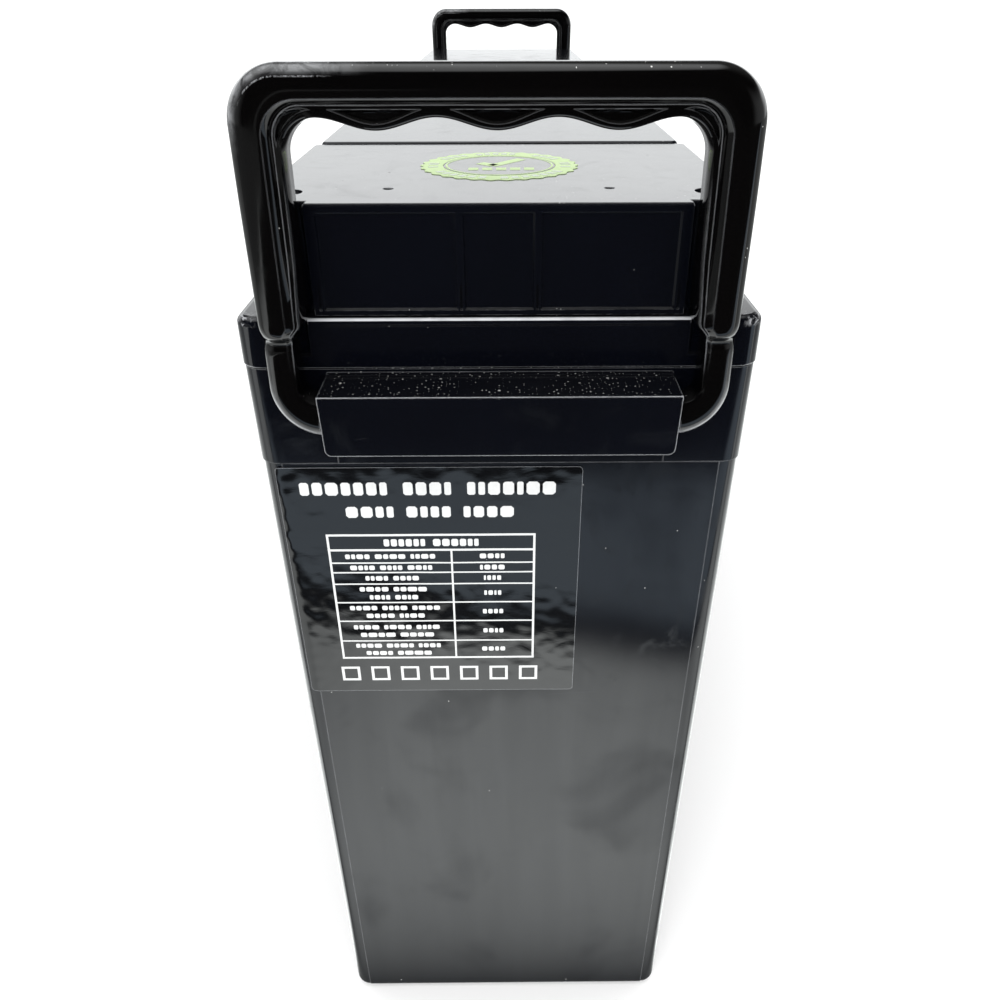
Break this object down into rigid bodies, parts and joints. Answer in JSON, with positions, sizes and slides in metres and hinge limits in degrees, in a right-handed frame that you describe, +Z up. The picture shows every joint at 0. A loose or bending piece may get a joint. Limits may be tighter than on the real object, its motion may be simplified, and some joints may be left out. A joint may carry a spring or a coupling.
{
  "type": "battery pack",
  "caption": "Tall slim rechargeable battery pack with a raised lid, a screwed terminal cover and a swing-up carrying handle at each short end.",
  "frame": {"origin": "centre of the footprint, on the ground", "axes": "+Z up, X across the narrow width, Y along the length with the terminal end at -Y"},
  "size_m": [0.125, 0.5886, 0.3364],
  "materials": {
    "band": "polyester strap",
    "brass": "turned",
    "cable_black": "silicone",
    "cable_red": "silicone",
    "case_gloss": "gloss black ABS",
    "cell_wrap": "blue film over an aluminium can",
    "circuit_board": "solder-masked board",
    "copper": "nickel-plated copper",
    "device_black": "moulded",
    "foam": "closed-cell foam",
    "glass_epoxy": "glass-epoxy sheet",
    "handle_gloss": "gloss black polypropylene",
    "heatsink_aluminium": "extruded",
    "label_film": "glossy film",
    "nylon_white": "satin",
    "post_aluminium": "bright",
    "seal_rubber": "matt rubber",
    "shell_gloss": "high gloss black ABS",
    "sticker_lime": "satin film",
    "tinned_lug": "tinned copper",
    "zinc_steel": "zinc plated"
  },
  "bodies": {
    "battery": {"balance_connector": "nylon_white", "balance_harness": "nylon_white", "base_pad": "foam", "bms_board": "circuit_board", "bms_heatsink": "heatsink_aluminium", "bms_input_cable": "cable_black", "bms_mosfet_bank": "device_black", "bms_output_cable": "cable_black", "bms_screw_front_left": "zinc_steel", "bms_screw_front_right": "zinc_steel", "bms_screw_rear_left": "zinc_steel", "bms_screw_rear_right": "zinc_steel", "bms_tray": "glass_epoxy", "busbar_cell_1_to_2": "copper", "busbar_cell_2_to_3": "copper", "busbar_cell_3_to_4": "copper", "case": "case_gloss", "cell_1": "cell_wrap", "cell_1_negative_post": "post_aluminium", "cell_1_positive_post": "post_aluminium", "cell_2": "cell_wrap", "cell_2_negative_post": "post_aluminium", "cell_2_positive_post": "post_aluminium", "cell_3": "cell_wrap", "cell_3_negative_post": "post_aluminium", "cell_3_positive_post": "post_aluminium", "cell_4": "cell_wrap", "cell_4_negative_post": "post_aluminium", "cell_4_positive_post": "post_aluminium", "cell_divider": "glass_epoxy", "cover_screw_left": "zinc_steel", "cover_screw_right": "zinc_steel", "front_end_plate": "glass_epoxy", "front_foam_block": "foam", "lid": "shell_gloss", "lid_seal": "seal_rubber", "lower_pack_band": "band", "negative_output_tab": "copper", "negative_tab_bolt": "zinc_steel", "negative_tab_lug": "tinned_lug", "negative_terminal_bolt": "zinc_steel", "negative_terminal_lug": "tinned_lug", "negative_terminal_post": "brass", "negative_terminal_washer": "zinc_steel", "positive_cable": "cable_red", "positive_output_tab": "copper", "positive_tab_bolt": "zinc_steel", "positive_tab_lug": "tinned_lug", "positive_terminal_bolt": "zinc_steel", "positive_terminal_lug": "tinned_lug", "positive_terminal_post": "brass", "positive_terminal_washer": "zinc_steel", "rating_label": "label_film", "rear_end_plate": "glass_epoxy", "rear_foam_block": "foam", "round_sticker": "sticker_lime", "terminal_cover": "shell_gloss", "upper_pack_band": "band"},
    "front_handle": {"front_handle": "handle_gloss"},
    "rear_handle": {"rear_handle": "handle_gloss"}
  },
  "joints": [
    {"name": "front_handle_swing", "type": "hinge", "parent": "battery", "child": "front_handle", "pos_m": [0, -0.2871, 0.2617], "axis": [1, 0, 0], "range_deg": [0, 183]},
    {"name": "rear_handle_swing", "type": "hinge", "parent": "battery", "child": "rear_handle", "pos_m": [0, 0.2871, 0.2617], "axis": [-1, 0, 0], "range_deg": [0, 183]}
  ]
}
